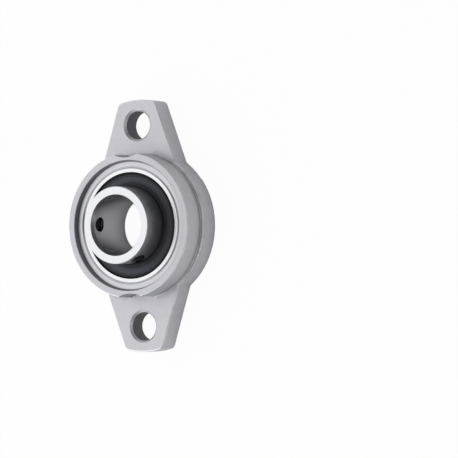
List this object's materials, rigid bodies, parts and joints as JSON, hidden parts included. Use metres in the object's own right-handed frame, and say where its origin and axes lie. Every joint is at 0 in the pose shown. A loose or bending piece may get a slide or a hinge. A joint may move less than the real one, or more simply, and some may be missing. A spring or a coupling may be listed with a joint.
{
  "type": "flange bearing unit",
  "caption": "Rhomboid flange bearing unit: a sealed self-aligning ball insert with a set-screw collar, held in a die-cast housing.",
  "frame": {"origin": "where the shaft axis meets the mounting face at the back of the flange", "axes": "+Z along the shaft axis, out of the front of the unit towards the set-screw collar; Y along the line through the two bolt holes; X across it"},
  "size_m": [0.0536, 0.089, 0.023],
  "materials": {
    "cast_housing": "fine shot-blasted die-cast zinc alloy, bare silver grey",
    "bearing_steel": "ground bearing steel with fine turning rings",
    "ball_steel": "polished bearing steel",
    "cage_steel": "pressed mild steel sheet",
    "seal_rubber": "satin nitrile rubber",
    "black_steel": "black-oxide steel"
  },
  "bodies": {
    "housing": {"housing": "cast_housing"},
    "outer_ring": {"outer_ring": "bearing_steel", "front_seal": "seal_rubber", "front_seal_core": "cage_steel", "back_seal": "seal_rubber", "back_seal_core": "cage_steel"},
    "inner_ring": {"inner_ring": "bearing_steel"},
    "cage": {"cage_front_half": "cage_steel", "cage_back_half": "cage_steel", "cage_rivets": "cage_steel"},
    "ball_1": {"ball_1": "ball_steel"},
    "ball_2": {"ball_2": "ball_steel"},
    "ball_3": {"ball_3": "ball_steel"},
    "ball_4": {"ball_4": "ball_steel"},
    "ball_5": {"ball_5": "ball_steel"},
    "ball_6": {"ball_6": "ball_steel"},
    "ball_7": {"ball_7": "ball_steel"},
    "ball_8": {"ball_8": "ball_steel"},
    "ball_9": {"ball_9": "ball_steel"},
    "set_screw_1": {"set_screw_1": "black_steel"},
    "set_screw_2": {"set_screw_2": "black_steel"}
  },
  "joints": [
    {"name": "insert_tilt", "type": "hinge", "parent": "housing", "child": "outer_ring", "pos_m": [0, 0, 0.008], "axis": [1, 0, 0], "range_deg": [-3, 3]},
    {"name": "inner_ring_spin", "type": "hinge", "parent": "outer_ring", "child": "inner_ring", "pos_m": [0, 0, 0.008], "axis": [0, 0, 1], "continuous": true},
    {"name": "cage_spin", "type": "hinge", "parent": "outer_ring", "child": "cage", "pos_m": [0, 0, 0.008], "axis": [0, 0, 1], "continuous": true},
    {"name": "ball_1_roll", "type": "hinge", "parent": "cage", "child": "ball_1", "pos_m": [0, 0.0155, 0.008], "axis": [0, 0, 1], "continuous": true},
    {"name": "ball_2_roll", "type": "hinge", "parent": "cage", "child": "ball_2", "pos_m": [-0.00996, 0.01187, 0.008], "axis": [0, 0, 1], "continuous": true},
    {"name": "ball_3_roll", "type": "hinge", "parent": "cage", "child": "ball_3", "pos_m": [-0.01526, 0.00269, 0.008], "axis": [0, 0, 1], "continuous": true},
    {"name": "ball_4_roll", "type": "hinge", "parent": "cage", "child": "ball_4", "pos_m": [-0.01342, -0.00775, 0.008], "axis": [0, 0, 1], "continuous": true},
    {"name": "ball_5_roll", "type": "hinge", "parent": "cage", "child": "ball_5", "pos_m": [-0.0053, -0.01457, 0.008], "axis": [0, 0, 1], "continuous": true},
    {"name": "ball_6_roll", "type": "hinge", "parent": "cage", "child": "ball_6", "pos_m": [0.0053, -0.01457, 0.008], "axis": [0, 0, 1], "continuous": true},
    {"name": "ball_7_roll", "type": "hinge", "parent": "cage", "child": "ball_7", "pos_m": [0.01342, -0.00775, 0.008], "axis": [0, 0, 1], "continuous": true},
    {"name": "ball_8_roll", "type": "hinge", "parent": "cage", "child": "ball_8", "pos_m": [0.01526, 0.00269, 0.008], "axis": [0, 0, 1], "continuous": true},
    {"name": "ball_9_roll", "type": "hinge", "parent": "cage", "child": "ball_9", "pos_m": [0.00996, 0.01187, 0.008], "axis": [0, 0, 1], "continuous": true},
    {"name": "set_screw_1_travel", "type": "slide", "parent": "inner_ring", "child": "set_screw_1", "axis": [0.9976, -0.0698, 0], "range_m": [-0.002, 0.0012]},
    {"name": "set_screw_2_travel", "type": "slide", "parent": "inner_ring", "child": "set_screw_2", "axis": [-0.4384, 0.8988, 0], "range_m": [-0.002, 0.0012]}
  ],
  "couplings": [
    {"joint": "cage_spin", "follows": "inner_ring_spin", "ratio": 0.39758},
    {"joint": "ball_1_roll", "follows": "inner_ring_spin", "ratio": -2.3385},
    {"joint": "ball_2_roll", "follows": "inner_ring_spin", "ratio": -2.3385},
    {"joint": "ball_3_roll", "follows": "inner_ring_spin", "ratio": -2.3385},
    {"joint": "ball_4_roll", "follows": "inner_ring_spin", "ratio": -2.3385},
    {"joint": "ball_5_roll", "follows": "inner_ring_spin", "ratio": -2.3385},
    {"joint": "ball_6_roll", "follows": "inner_ring_spin", "ratio": -2.3385},
    {"joint": "ball_7_roll", "follows": "inner_ring_spin", "ratio": -2.3385},
    {"joint": "ball_8_roll", "follows": "inner_ring_spin", "ratio": -2.3385},
    {"joint": "ball_9_roll", "follows": "inner_ring_spin", "ratio": -2.3385}
  ]
}
